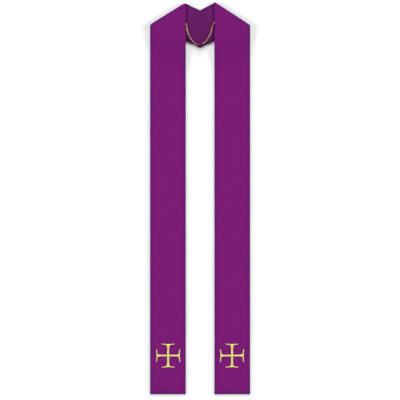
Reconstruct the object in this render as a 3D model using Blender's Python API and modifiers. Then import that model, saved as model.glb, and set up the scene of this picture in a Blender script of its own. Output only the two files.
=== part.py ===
"""A clerical stole laid out flat, front up: a long cloth band that turns round the back of the neck.

Each side is a straight strip.  Its neck half lies on the surface, and is joined to the other side's
by a mitred seam at the centre back.  At the shoulder the strip folds over, and it comes down as a
front.  A light chain joins the two fronts.  Metres, +Z up, the surface at z = 0, +Y towards the
neck, and the origin in the middle of the outline.
"""

from collections import namedtuple
from math import cos, pi, radians, sin, tan

import bmesh
import bpy
import numpy as np
from mathutils import Matrix, Vector

# The cut of one side
BAND_WIDTH = 0.120
NECK_WIDTH = 0.115  # at the centre back seam
NECK_DROP = 0.0010  # how far the middle of the neck is drawn down at that seam
SIDE_LENGTH = 1.396  # hem to centre back, along the middle of the strip
SHOULDER_SLOPE = radians(32.45)  # of the fold, falling away from the neck
FRONT_GAP = 0.096  # between the two fronts

# The cloth
CLOTH = 0.0020
LINING = 0.0010
LINING_INSET = 0.0035  # from the edges of the neck
EMBROIDERY = 0.0010
GAP = 0.0003  # left between pieces that touch
EASE_CLEAR = 0.006  # a front starts to come down this far past the neck's lower edge
EASE_LENGTH = 0.060  # and reaches the surface this much further on

# The cross on each front
CROSS_HEIGHT = 0.082
CROSS_ABOVE_HEM = 0.1297  # to its middle
CROSS_INWARDS = 0.0008  # from the middle of the front
STEM_WIDTH = 0.0074
SERIF_LENGTH = 0.043
SERIF_THICKNESS = 0.0052
SERIF_DIP = 0.0013  # how far the middle of a serif's outer edge lies in from its tips
FLARE_WIDTH = 0.0062
FLARE_LENGTH = 0.0120

# The neck chain
CHAIN_WIDTH = 0.0040
SEWN_RING, SEWN_WIRE = 0.0064, 0.0012  # outer diameter and wire of a ring sewn to a front's edge
JUMP_RING, JUMP_WIRE = 0.0064, 0.0011
CLASP_RING, CLASP_WIRE = 0.0084, 0.0017
CLASP_X, CLASP_Y, CLASP_Z = 0.0003, 0.5168, 0.0064
CLASP_TURN = radians(9)  # the clasp's right end lies nearer the neck
CLASP_ROLL, JUMP_ROLL = radians(20), radians(-55)  # so that the rings link without touching

# Worked out from those
LAYER_RISE = CLOTH + GAP + LINING + GAP  # from the neck's cloth up to the front over it
FOLD_RADIUS = LAYER_RISE / 2
FOLD_LENGTH = pi * FOLD_RADIUS
INNER_X = FRONT_GAP / 2
OUTER_X = INNER_X + BAND_WIDTH
MIDDLE_X = (INNER_X + OUTER_X) / 2
NECK_TURN = 2 * SHOULDER_SLOPE
FRONT_LENGTH = SIDE_LENGTH - MIDDLE_X / sin(NECK_TURN)
SHOULDER_RISE = BAND_WIDTH / 2 * tan(SHOULDER_SLOPE)  # from mid band up to the point by the neck
TOP_Y = (FRONT_LENGTH + SHOULDER_RISE) / 2
HEM_Y = -TOP_Y
FOLD_ALONG = Vector((-cos(SHOULDER_SLOPE), sin(SHOULDER_SLOPE)))
FOLD_OUT = Vector((sin(SHOULDER_SLOPE), cos(SHOULDER_SLOPE)))
FOLD_START = Vector((INNER_X, TOP_Y)) - FOLD_OUT * (FOLD_RADIUS + CLOTH / 2)
TINY = 1e-6

SIDES = {"left": -1, "right": 1}


def material(name, colour, roughness, metallic=0.0):
    """A plain Principled finish."""
    made = bpy.data.materials.new(name)
    made.use_nodes = True
    shader = made.node_tree.nodes["Principled BSDF"]
    shader.inputs["Base Color"].default_value = (*colour, 1.0)
    shader.inputs["Roughness"].default_value = roughness
    shader.inputs["Metallic"].default_value = metallic
    return made


def add_object(name, data, finish):
    """An object of this name in the stole's collection, with its finish."""
    made = bpy.data.objects.new(name, data)
    data.materials.append(finish)
    stole.objects.link(made)
    return made


# ---------------------------------------------------------------- how a strip lies


def laid(x, y, lift=0.0):
    """Where the point (x, y) of the middle of a straight strip lies, once it is folded.

    Up to the fold the strip is a front, which stands off the surface by lift.  The fold rolls it
    over, and past the fold it lies on the surface and runs down to the centre back.
    """
    from_start = Vector((x, y)) - FOLD_START
    past = from_start.dot(FOLD_OUT)
    if past <= TINY:
        out = past
        height = lift
    elif past < FOLD_LENGTH:
        out = FOLD_RADIUS * sin(past / FOLD_RADIUS)
        height = FOLD_RADIUS * (1 + cos(past / FOLD_RADIUS))
    else:
        out = FOLD_LENGTH - past
        height = 0.0
    place = FOLD_START + FOLD_ALONG * from_start.dot(FOLD_ALONG) + FOLD_OUT * out
    return place.x, place.y, CLOTH / 2 + height


def fold_y(x, past):
    """How far up the straight strip's line at x is where the fold has run this far round."""
    return FOLD_START.y + (past - (x - FOLD_START.x) * FOLD_OUT.x) / FOLD_OUT.y


def back_y(x):
    """How far up the straight strip's line at x is the centre back seam."""
    beyond = fold_y(x, FOLD_LENGTH)
    return beyond + (laid(x, beyond)[0] - GAP / 2) / sin(NECK_TURN)


def below_neck_y(x, below):
    """The height at x of a line this far below the neck's lower edge."""
    corner_x, corner_y, _ = laid(OUTER_X, fold_y(OUTER_X, FOLD_LENGTH))
    return corner_y + (x - corner_x) / tan(NECK_TURN) - below / sin(NECK_TURN)


def edges(taper=0.0, inset=0.0):
    """The straight strip's two edges, drawn in by a share of the neck's shaping and an inset."""
    drawn_in = (BAND_WIDTH - NECK_WIDTH) / 2 * taper + inset
    drop = NECK_DROP * taper
    return INNER_X + drawn_in + drop, OUTER_X - drawn_in + drop


# A section that the shape turns on.  inner_y and outer_y are its ends on the straight strip's two
# edges, taper is its share of the neck's shaping, lift is the share of a layer that it stands off
# the surface, and steps is how many steps lead on to the next one.
Section = namedtuple("Section", "place inner_y outer_y taper lift steps")


def front_sections():
    """The sections of a front, from the hem up and over the shoulder fold to the shoulder seam."""
    reach = EASE_CLEAR + EASE_LENGTH
    level = below_neck_y(INNER_X, reach) - BAND_WIDTH / 3
    down = [below_neck_y(x, reach) for x in edges()]
    clear = [below_neck_y(x, EASE_CLEAR) for x in edges()]
    fold = [fold_y(x, 0) for x in edges()]
    turned = [fold_y(x, FOLD_LENGTH) for x in edges()]
    return (
        Section("hem", HEM_Y, HEM_Y, 0, 0, 12),
        Section("level front", level, level, 0, 0, 2),
        Section("leaves the surface", *down, 0, 0, 10),
        Section("clear of the neck", *clear, 0, 1, 4),
        Section("starts to fold", *fold, 0, 1, 12),
        Section("shoulder seam", *turned, 0, 0, 0),
    )


def neck_sections(inset):
    """The sections of half the back of the neck, from the shoulder seam to the centre back."""
    shoulder = [fold_y(x, FOLD_LENGTH + GAP) for x in edges(inset=inset)]
    back = [back_y(x) for x in edges(taper=1, inset=inset)]
    return (
        Section("shoulder seam", *shoulder, 0, 0, 6),
        Section("centre back", *back, 1, 0, 0),
    )


def smooth_step(share):
    return share * share * (3 - 2 * share)


def lines_between(sections, inset):
    """The lines across the strip at and between the sections: two ends and a lift for each."""
    lines = []
    for section, following in zip(sections, (*sections[1:], sections[-1])):
        steps = max(section.steps, 1)
        for step in range(steps):
            share = step / steps
            inner_y = section.inner_y + (following.inner_y - section.inner_y) * share
            outer_y = section.outer_y + (following.outer_y - section.outer_y) * share
            taper = section.taper + (following.taper - section.taper) * share
            lift = section.lift + (following.lift - section.lift) * smooth_step(share)
            inner_x, outer_x = edges(taper, inset)
            lines.append((Vector((inner_x, inner_y)), Vector((outer_x, outer_y)), lift))
    return lines


def cloth_sheet(name, side, sections, thickness, finish, inset=0.0, above=0.0, across=4):
    """A sheet lofted through the sections and thickened both ways, raised above the strip's middle."""
    sheet = bmesh.new()
    rows = []
    for inner, outer, lift in lines_between(sections, inset):
        row = []
        for step in range(across + 1):
            on_line = inner.lerp(outer, step / across)
            x, y, z = laid(on_line.x, on_line.y, lift * LAYER_RISE)
            row.append(sheet.verts.new((side * x, y, z + above)))
        rows.append(row)
    for row, following in zip(rows, rows[1:]):
        for i in range(across):
            sheet.faces.new((row[i], row[i + 1], following[i + 1], following[i]))
    mesh = bpy.data.meshes.new(name)
    sheet.to_mesh(mesh)
    sheet.free()
    made = add_object(name, mesh, finish)
    wall = made.modifiers.new("wall", "SOLIDIFY")
    wall.thickness = thickness
    wall.offset = 0.0
    wall.use_even_offset = True
    return made


# ---------------------------------------------------------------- the crosses


def half_arm():
    """The right-hand edge of a cross's upper arm, from the crossing out to the middle of its end."""
    reach = CROSS_HEIGHT / 2
    half_stem = STEM_WIDTH / 2
    half_serif = SERIF_LENGTH / 2
    round_end = SERIF_THICKNESS / 2

    def outer_edge(x):
        return reach - SERIF_DIP * (1 - (x / half_serif) ** 2)

    foot = outer_edge(half_stem + FLARE_WIDTH) - SERIF_THICKNESS
    points = [(half_stem, half_stem)]
    for turn in np.linspace(0, pi / 2, 7):
        x = half_stem + FLARE_WIDTH * (1 - cos(turn))
        points.append((x, foot - FLARE_LENGTH * (1 - sin(turn))))
    tip_x = half_serif - round_end
    for share in (0.5, 1.0):
        x = points[-1][0] + (tip_x - points[-1][0]) * share
        points.append((x, outer_edge(x) - SERIF_THICKNESS))
    tip_y = outer_edge(tip_x) - round_end
    for turn in np.linspace(-pi / 3, pi / 3, 3):
        points.append((tip_x + round_end * cos(turn), tip_y + round_end * sin(turn)))
    for share in (1.0, 0.66, 0.33, 0.0):
        points.append((tip_x * share, outer_edge(tip_x * share)))
    return points


def cross_outline():
    """The whole cross, anticlockwise round its middle: four arms with flared, barred ends."""
    right = half_arm()
    left = [(-x, y) for x, y in reversed(right[1:-1])]
    points = []
    for quarter in range(4):
        turn = Matrix.Rotation(quarter * pi / 2, 2)
        points += [turn @ Vector(point) for point in right + left]
    return points


def add_cross(name, side):
    """An embroidered cross, standing on the face of a front."""
    shape = bpy.data.curves.new(name, "CURVE")
    shape.dimensions = "2D"
    shape.fill_mode = "BOTH"
    shape.extrude = EMBROIDERY / 2
    outline = cross_outline()
    edge = shape.splines.new("POLY")
    edge.points.add(len(outline) - 1)
    for point, place in zip(edge.points, outline):
        point.co = (place.x, place.y, 0.0, 1.0)
    edge.use_cyclic_u = True
    made = add_object(name, shape, gold_thread)
    made.location = (
        side * (MIDDLE_X - CROSS_INWARDS),
        HEM_Y + CROSS_ABOVE_HEM,
        CLOTH + GAP + EMBROIDERY / 2,
    )


# ---------------------------------------------------------------- the neck chain

# Each half of the chain lies in a loose curve over the lining, from the ring sewn to its front's
# inner edge to the ring beside the clasp.
CHAIN_ROUTES = {
    "left": (
        (-0.0457, 0.5803, 0.0062),
        (-0.0452, 0.5757, 0.0059),
        (-0.0441, 0.5680, 0.0058),
        (-0.0421, 0.5602, 0.0058),
        (-0.0396, 0.5530, 0.0058),
        (-0.0366, 0.5457, 0.0058),
        (-0.0330, 0.5390, 0.0058),
        (-0.0287, 0.5326, 0.0058),
        (-0.0238, 0.5265, 0.0058),
        (-0.0186, 0.5212, 0.0058),
        (-0.0132, 0.5174, 0.0059),
        (-0.0079, 0.5156, 0.0062),
    ),
    "right": (
        (0.0456, 0.5850, 0.0062),
        (0.0434, 0.5805, 0.0059),
        (0.0411, 0.5750, 0.0058),
        (0.0394, 0.5685, 0.0058),
        (0.0377, 0.5620, 0.0058),
        (0.0354, 0.5560, 0.0058),
        (0.0329, 0.5500, 0.0058),
        (0.0303, 0.5441, 0.0058),
        (0.0273, 0.5383, 0.0058),
        (0.0238, 0.5323, 0.0058),
        (0.0196, 0.5266, 0.0058),
        (0.0145, 0.5218, 0.0059),
        (0.0087, 0.5183, 0.0062),
    ),
}
SEWN_AT = {"left": (-0.0466, 0.5838), "right": (0.0471, 0.5884)}


def smooth_line(points, spacing):
    """Points this far apart on a smooth curve through the given ones."""
    knots = np.array(points)
    padded = np.vstack([2 * knots[0] - knots[1], knots, 2 * knots[-1] - knots[-2]])
    fine = [knots[0]]
    for before, start, end, after in zip(padded, padded[1:], padded[2:], padded[3:]):
        for share in np.linspace(0.1, 1.0, 10):
            bend = (3 * (start - end) + after - before) * share**3
            swing = (2 * before - 5 * start + 4 * end - after) * share**2
            fine.append(start + ((end - before) * share + swing + bend) / 2)
    fine = np.array(fine)
    steps = np.linalg.norm(np.diff(fine, axis=0), axis=1)
    along = np.concatenate([[0.0], np.cumsum(steps)])
    places = np.linspace(0.0, along[-1], round(along[-1] / spacing) + 1)
    return np.stack([np.interp(places, along, fine[:, axis]) for axis in range(3)], axis=1)


def add_chain(name, route):
    """The plain round space that a stretch of chain fills."""
    line = smooth_line(route, 2.2 * CHAIN_WIDTH)
    tube = bpy.data.curves.new(name, "CURVE")
    tube.dimensions = "3D"
    tube.bevel_depth = CHAIN_WIDTH / 2
    tube.bevel_resolution = 2
    tube.use_fill_caps = True
    path = tube.splines.new("POLY")
    path.points.add(len(line) - 1)
    for point, place in zip(path.points, line):
        point.co = (*place, 1.0)
    add_object(name, tube, antique_gold)


def add_ring(name, outer, wire, place, turn=0.0, roll=0.0):
    """A round wire ring.  It lies level, unless it is rolled about a line turned from +X."""
    bpy.ops.mesh.primitive_torus_add(
        major_radius=(outer - wire) / 2,
        minor_radius=wire / 2,
        major_segments=24,
        minor_segments=8,
    )
    ring = bpy.context.object
    ring.name = name
    ring.data.name = name
    ring.data.shade_smooth()
    ring.data.materials.append(antique_gold)
    for collection in ring.users_collection:
        collection.objects.unlink(ring)
    stole.objects.link(ring)
    ring.rotation_euler = (roll, 0.0, turn)
    ring.location = place


def add_clasp():
    """The clasp ring, with a jump ring linked through it on each side."""
    middle = Vector((CLASP_X, CLASP_Y, CLASP_Z))
    along = Vector((cos(CLASP_TURN), sin(CLASP_TURN), 0.0))
    apart = (CLASP_RING + JUMP_RING) / 2 - CLASP_WIRE - JUMP_WIRE - 3 * GAP
    add_ring("clasp_ring", CLASP_RING, CLASP_WIRE, middle, CLASP_TURN, CLASP_ROLL)
    for word, side in SIDES.items():
        place = middle + along * side * apart
        add_ring(f"jump_ring_{word}", JUMP_RING, JUMP_WIRE, place, CLASP_TURN, JUMP_ROLL)


# ---------------------------------------------------------------- the whole stole

for old in list(bpy.data.objects):
    bpy.data.objects.remove(old, do_unlink=True)
stole = bpy.data.collections.new("clerical_stole")
bpy.context.scene.collection.children.link(stole)

face_cloth = material("face_cloth", (0.195, 0.0116, 0.171), 0.82)
lining_cloth = material("lining_cloth", (0.127, 0.0130, 0.117), 0.60)
gold_thread = material("gold_thread", (0.745, 0.620, 0.230), 0.45)
antique_gold = material("antique_gold", (0.430, 0.270, 0.110), 0.35, metallic=1.0)

lining_above = CLOTH / 2 + GAP + LINING / 2
sewn_height = CLOTH + LAYER_RISE + GAP + SEWN_WIRE / 2
for word, side in SIDES.items():
    cloth_sheet(f"front_{word}", side, front_sections(), CLOTH, face_cloth)
    cloth_sheet(f"neck_{word}", side, neck_sections(0.0), CLOTH, face_cloth)
    cloth_sheet(
        f"lining_{word}",
        side,
        neck_sections(LINING_INSET),
        LINING,
        lining_cloth,
        inset=LINING_INSET,
        above=lining_above,
    )
    add_cross(f"cross_{word}", side)
    add_ring(f"sewn_ring_{word}", SEWN_RING, SEWN_WIRE, (*SEWN_AT[word], sewn_height))
    add_chain(f"chain_{word}", CHAIN_ROUTES[word])
add_clasp()
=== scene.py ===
"""The looks of a clerical stole that lies flat, front up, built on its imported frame.

Metres, +Z up, the surface at z = 0 and +Y towards the neck.
"""

from collections import namedtuple
from math import cos, pi, radians, sin, tan

import bmesh
import bpy
import numpy as np
from mathutils import Matrix, Vector


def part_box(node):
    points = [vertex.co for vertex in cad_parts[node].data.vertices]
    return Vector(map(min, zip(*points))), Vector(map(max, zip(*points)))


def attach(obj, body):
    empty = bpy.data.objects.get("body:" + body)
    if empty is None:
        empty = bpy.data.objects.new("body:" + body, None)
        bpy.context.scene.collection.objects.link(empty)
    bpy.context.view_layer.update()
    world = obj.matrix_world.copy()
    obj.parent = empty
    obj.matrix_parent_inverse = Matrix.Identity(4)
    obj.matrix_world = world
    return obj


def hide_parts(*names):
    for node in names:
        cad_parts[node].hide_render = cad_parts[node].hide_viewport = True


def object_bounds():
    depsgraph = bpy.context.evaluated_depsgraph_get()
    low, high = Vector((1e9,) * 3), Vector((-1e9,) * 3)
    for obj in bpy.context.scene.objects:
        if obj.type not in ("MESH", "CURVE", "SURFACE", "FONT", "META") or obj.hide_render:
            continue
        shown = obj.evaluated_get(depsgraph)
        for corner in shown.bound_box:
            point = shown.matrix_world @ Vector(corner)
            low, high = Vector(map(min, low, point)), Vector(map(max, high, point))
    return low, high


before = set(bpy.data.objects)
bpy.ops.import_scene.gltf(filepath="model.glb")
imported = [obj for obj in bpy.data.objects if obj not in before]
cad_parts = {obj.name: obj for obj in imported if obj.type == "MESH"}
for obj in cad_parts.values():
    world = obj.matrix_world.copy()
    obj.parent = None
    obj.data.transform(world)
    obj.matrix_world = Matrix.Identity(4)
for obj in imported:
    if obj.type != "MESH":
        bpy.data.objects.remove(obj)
cad_low, cad_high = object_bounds()

# ---------------------------------------------------------------- the camera
# The stole lies spread on a table and is looked at from straight above, from far enough away that
# none of it leans outwards.  The view is a little taller than the stole is long.

CAMERA_ABOVE = 3.2
VIEW_HEIGHT = 1.0217  # as a share of the stole's length
VIEW_MIDDLE = Vector((-0.0003, -0.0054))  # from the middle of the stole


def place_in_scene(name, data):
    """A new object that holds this mesh, lamp or camera."""
    made = bpy.data.objects.new(name, data)
    bpy.context.scene.collection.objects.link(made)
    return made


camera = place_in_scene("camera", bpy.data.cameras.new("camera"))
camera.location = (*((cad_low + cad_high) / 2).xy + VIEW_MIDDLE, CAMERA_ABOVE)
camera.data.lens = camera.data.sensor_width * CAMERA_ABOVE / (VIEW_HEIGHT * (cad_high.y - cad_low.y))
bpy.context.scene.camera = camera

# ---------------------------------------------------------------- the side cloths
# Each side is one long strip of plain-woven purple cloth, backed, with its edges turned in and
# pressed.  It runs from the hem up the front, folds over at the shoulder and lies back down to the
# centre back, so the neck shows its wrong side.  The two sides are seamed at the centre back.

BAND_WIDTH = 0.120
NECK_WIDTH = 0.115  # at the centre back seam
NECK_DROP = 0.0010  # how far the middle of the neck is drawn down at that seam
FRONT_GAP = 0.096  # between the two fronts
SHOULDER_SLOPE = radians(32.45)  # of the fold, falling away from the neck
SEAM_GAP = 0.0003  # between pieces that meet
SEAM_CLOSED = 0.00002  # the seamed edges at the centre back meet
EASE_CLEAR = 0.006  # a front starts to come down this far past the neck's lower edge
EASE_LENGTH = 0.100  # and reaches the surface this much further on
EDGE_ROUND = 0.0011  # how far in from an edge its round reaches
EDGE_GROOVE = 0.0002  # how far in the line lies where the turned edges meet
END_ROUND = 0.55  # how far in from an end its round reaches, as a share of the thickness
END_LEAST = 0.02  # how far into that round the end itself is
PILLOW = 0.016  # the cloth slopes down to its edges over this distance
PILLOW_DROP = 0.0005
RIPPLE_BENEATH = 0.6  # a ripple's height on the underside, as a share of the one above it

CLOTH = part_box("neck_right")[1].z
LAYER_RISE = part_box("front_right")[1].z - CLOTH  # from the neck's cloth up to the front over it
HEM_Y, TOP_Y = cad_low.y, cad_high.y
INNER_X = FRONT_GAP / 2
OUTER_X = INNER_X + BAND_WIDTH
MIDDLE_X = (INNER_X + OUTER_X) / 2
NECK_TURN = 2 * SHOULDER_SLOPE
FOLD_RADIUS = LAYER_RISE / 2
FOLD_LENGTH = pi * FOLD_RADIUS
FOLD_ALONG = np.array((-cos(SHOULDER_SLOPE), sin(SHOULDER_SLOPE)))
FOLD_OUT = np.array((sin(SHOULDER_SLOPE), cos(SHOULDER_SLOPE)))
FOLD_START = np.array((INNER_X, TOP_Y)) - FOLD_OUT * (FOLD_RADIUS + CLOTH / 2)

SIDES = {"left": -1, "right": 1}

# A soft rise in the cloth.  up is metres above the hem to its middle, across is a share of the
# width from the inner edge, and turn is degrees round from straight up the strip.
Ripple = namedtuple("Ripple", "up across length width height turn")
RIPPLES = {
    "left": (
        Ripple(0.262, 0.00, 0.120, 0.034, 0.00060, 5),
        Ripple(0.335, 0.58, 0.165, 0.052, 0.00028, -24),
        Ripple(0.468, 1.00, 0.140, 0.040, 0.00055, -4),
        Ripple(0.575, 0.30, 0.190, 0.060, 0.00030, 18),
        Ripple(0.698, 0.02, 0.105, 0.030, 0.00050, 7),
        Ripple(0.772, 0.72, 0.150, 0.048, 0.00034, -14),
        Ripple(0.905, 0.98, 0.125, 0.036, 0.00042, 3),
        Ripple(0.983, 0.36, 0.130, 0.044, 0.00026, 31),
        Ripple(0.046, 0.22, 0.070, 0.046, 0.00024, -38),
    ),
    "right": (
        Ripple(0.236, 1.00, 0.130, 0.038, 0.00052, -6),
        Ripple(0.301, 0.34, 0.150, 0.050, 0.00030, 21),
        Ripple(0.412, 0.01, 0.115, 0.032, 0.00058, 4),
        Ripple(0.540, 0.66, 0.200, 0.058, 0.00028, -17),
        Ripple(0.655, 0.97, 0.120, 0.034, 0.00046, 5),
        Ripple(0.748, 0.28, 0.145, 0.050, 0.00033, 27),
        Ripple(0.866, 0.03, 0.135, 0.036, 0.00048, -5),
        Ripple(0.962, 0.70, 0.120, 0.046, 0.00027, -29),
        Ripple(0.052, 0.80, 0.075, 0.044, 0.00026, 33),
    ),
}

# How much painted shade darkens the cloth at a distance in from any of its edges, from 1 down to 0.
Share = namedtuple("Share", "distance share")
EDGE_SHADE = (
    Share(0.0000, 1.00),
    Share(0.0020, 0.62),
    Share(0.0045, 0.30),
    Share(0.0080, 0.15),
    Share(0.0115, 0.10),
    Share(0.0150, 0.05),
    Share(0.0190, 0.00),
)
EDGE_SHADE_BY_NECK = 0.25  # as a share of that, where a front's inner edge lies over the neck

# How much further up the table than its plain folded form the cloth has been laid, at its top edge
# and at the neck's lower edge, by the distance from the middle of the neck.
Laid = namedtuple("Laid", "x top low")
LAID_UP = {
    "left": (
        Laid(0.0000, 0.0000, 0.0000),
        Laid(0.0080, -0.0003, 0.0010),
        Laid(0.0200, -0.0014, 0.0021),
        Laid(0.0360, -0.0031, 0.0023),
        Laid(0.0440, -0.0032, 0.0024),
        Laid(0.0500, -0.0018, 0.0024),
        Laid(0.0545, 0.0003, 0.0021),
        Laid(0.0600, 0.0010, 0.0018),
        Laid(0.1000, 0.0016, 0.0000),
        Laid(0.1680, 0.0026, 0.0000),
    ),
    "right": (
        Laid(0.0000, 0.0000, 0.0000),
        Laid(0.0080, 0.0000, 0.0006),
        Laid(0.0200, 0.0000, 0.0019),
        Laid(0.0360, -0.0008, 0.0025),
        Laid(0.0440, -0.0013, 0.0028),
        Laid(0.0465, -0.0002, 0.0028),
        Laid(0.0490, 0.0026, 0.0028),
        Laid(0.1000, 0.0020, 0.0000),
        Laid(0.1680, 0.0010, 0.0000),
    ),
}
LAID_TOP_REACH = 0.120  # how far from each edge the cloth is moved with it
LAID_LOW_REACH = 0.060


def laid_up(word, x, y):
    """How much further up the table a point of a side lies than in its plain folded form."""
    to_middle = np.maximum(INNER_X - x, 0.0) / tan(NECK_TURN)
    to_shoulder = np.maximum(x - INNER_X, 0.0) * tan(SHOULDER_SLOPE)
    below_top = TOP_Y - to_middle - to_shoulder - y
    from_low = np.abs(y - below_neck_y(x, 0.0))
    places = [each.x for each in LAID_UP[word]]
    top = np.interp(x, places, [each.top for each in LAID_UP[word]])
    low = np.interp(x, places, [each.low for each in LAID_UP[word]])
    top_share = smooth_step(1 - below_top / LAID_TOP_REACH)
    return top * top_share + low * smooth_step(1 - from_low / LAID_LOW_REACH)


def lie(across, along, lift=0.0, through=0.0):
    """Where points of the straight strip lie once it is folded: their x, y and z.

    lift is how far the cloth stands off the surface before the fold, and through is how far the
    point is from the middle of the cloth towards its face.
    """
    from_x = across - FOLD_START[0]
    from_y = along - FOLD_START[1]
    past = from_x * FOLD_OUT[0] + from_y * FOLD_OUT[1]
    beside = from_x * FOLD_ALONG[0] + from_y * FOLD_ALONG[1]
    turn = np.clip(past / FOLD_RADIUS, 0.0, pi)
    reach = FOLD_RADIUS + through
    out = np.minimum(past, 0.0) + np.minimum(FOLD_LENGTH - past, 0.0) + reach * np.sin(turn)
    height = np.where(past <= 0.0, lift + through, FOLD_RADIUS + reach * np.cos(turn))
    x = FOLD_START[0] + FOLD_ALONG[0] * beside + FOLD_OUT[0] * out
    y = FOLD_START[1] + FOLD_ALONG[1] * beside + FOLD_OUT[1] * out
    return x, y, CLOTH / 2 + height


def fold_y(x, past):
    """How far up the straight strip's line at x is where the fold has run this far round."""
    return FOLD_START[1] + (past - (x - FOLD_START[0]) * FOLD_OUT[0]) / FOLD_OUT[1]


def back_y(x):
    """How far up the straight strip's line at x is the centre back seam."""
    beyond = fold_y(x, FOLD_LENGTH)
    return beyond + (lie(x, beyond)[0] - SEAM_CLOSED / 2) / sin(NECK_TURN)


def below_neck_y(x, below):
    """The height at x of a line this far below the neck's lower edge."""
    corner_x, corner_y, _ = lie(OUTER_X, fold_y(OUTER_X, FOLD_LENGTH))
    return corner_y + (x - corner_x) / tan(NECK_TURN) - below / sin(NECK_TURN)


def edges(taper=0.0, inset=0.0):
    """The straight strip's two edges, drawn in by a share of the neck's shaping and an inset."""
    drawn_in = (BAND_WIDTH - NECK_WIDTH) / 2 * taper + inset
    drop = NECK_DROP * taper
    return INNER_X + drawn_in + drop, OUTER_X - drawn_in + drop


# A section that the strip's shape turns on.  inner_y and outer_y are its ends on the two edges,
# taper its share of the neck's shaping, lift its share of a layer, and steps those to the next.
Section = namedtuple("Section", "place inner_y outer_y taper lift steps")


def side_sections():
    """The sections of a side, from the hem over the shoulder to the centre back."""
    reach = EASE_CLEAR + EASE_LENGTH
    level = below_neck_y(INNER_X, reach) - BAND_WIDTH / 3
    down = [below_neck_y(x, reach) for x in edges()]
    clear = [below_neck_y(x, EASE_CLEAR) for x in edges()]
    fold = [fold_y(x, 0) for x in edges()]
    turned = [fold_y(x, FOLD_LENGTH) for x in edges()]
    return (
        Section("hem", HEM_Y, HEM_Y, 0, 0, 6),
        Section("inside the hem", HEM_Y + EDGE_ROUND, HEM_Y + EDGE_ROUND, 0, 0, 200),
        Section("level front", level, level, 0, 0, 12),
        Section("leaves the surface", *down, 0, 0, 22),
        Section("clear of the neck", *clear, 0, 1, 22),
        Section("starts to fold", *fold, 0, 1, 14),
        Section("shoulder", *turned, 0, 0, 54),
        *back_sections(0.0),
    )


def back_sections(inset):
    """The last sections of a strip, just before the centre back and at it."""
    back = [back_y(x) for x in edges(taper=1, inset=inset)]
    before = [y - EDGE_ROUND / sin(NECK_TURN) for y in back]
    return (
        Section("inside the centre back", *before, 0.99, 0, 5),
        Section("centre back", *back, 1, 0, 0),
    )


def smooth_step(share):
    """A share from 0 to 1 that starts and ends gently."""
    share = np.clip(share, 0.0, 1.0)
    return share * share * (3 - 2 * share)


def lines_between(sections, inset):
    """The lines across the strip at and between the sections: inner x, y, outer x, y and lift.

    Each of the five is a column, to be spread over the points of its lines.
    """
    lines = []
    for section, following in zip(sections, (*sections[1:], sections[-1])):
        for step in range(max(section.steps, 1)):
            share = step / max(section.steps, 1)
            inner_y = section.inner_y + (following.inner_y - section.inner_y) * share
            outer_y = section.outer_y + (following.outer_y - section.outer_y) * share
            taper = section.taper + (following.taper - section.taper) * share
            lift = section.lift + (following.lift - section.lift) * smooth_step(share)
            inner_x, outer_x = edges(taper, inset)
            lines.append((inner_x, inner_y, outer_x, outer_y, lift * LAYER_RISE))
    return np.array(lines)[:, :, None].transpose(1, 0, 2)


def round_section(width, step):
    """Points round a strip's section from one edge back to it, the show side first.

    Each has a share across, the distance in from the nearer edge, and a share of the half
    thickness, which is positive on the show side and negative beneath.
    """
    turns = np.radians((22, 45, 68, 90))
    distances = list(EDGE_ROUND * (1 - np.cos(turns)))
    heights = list(np.sin(turns))
    wider = step / 4
    while distances[-1] + wider < width / 2:
        distances.append(distances[-1] + wider)
        heights.append(1.0)
        wider = min(wider * 1.25, step)
    distances = np.array(distances)
    one_side = np.concatenate([distances, [width / 2], width - distances[::-1]])
    one_height = np.array([*heights, 1.0, *heights[::-1]])
    across = np.concatenate([[EDGE_GROOVE], one_side, [width - EDGE_GROOVE], one_side[::-1]]) / width
    height = np.concatenate([[0.0], one_height, [0.0], -one_height])
    return across, np.minimum(across, 1 - across) * width, height


# What a strip's mesh is made from, kept for its tones: the cut place of each point, where it lies,
# how far it is in from the strip's edges, and its share of the half thickness.
Strip = namedtuple("Strip", "piece across along x y from_edge height")


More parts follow.
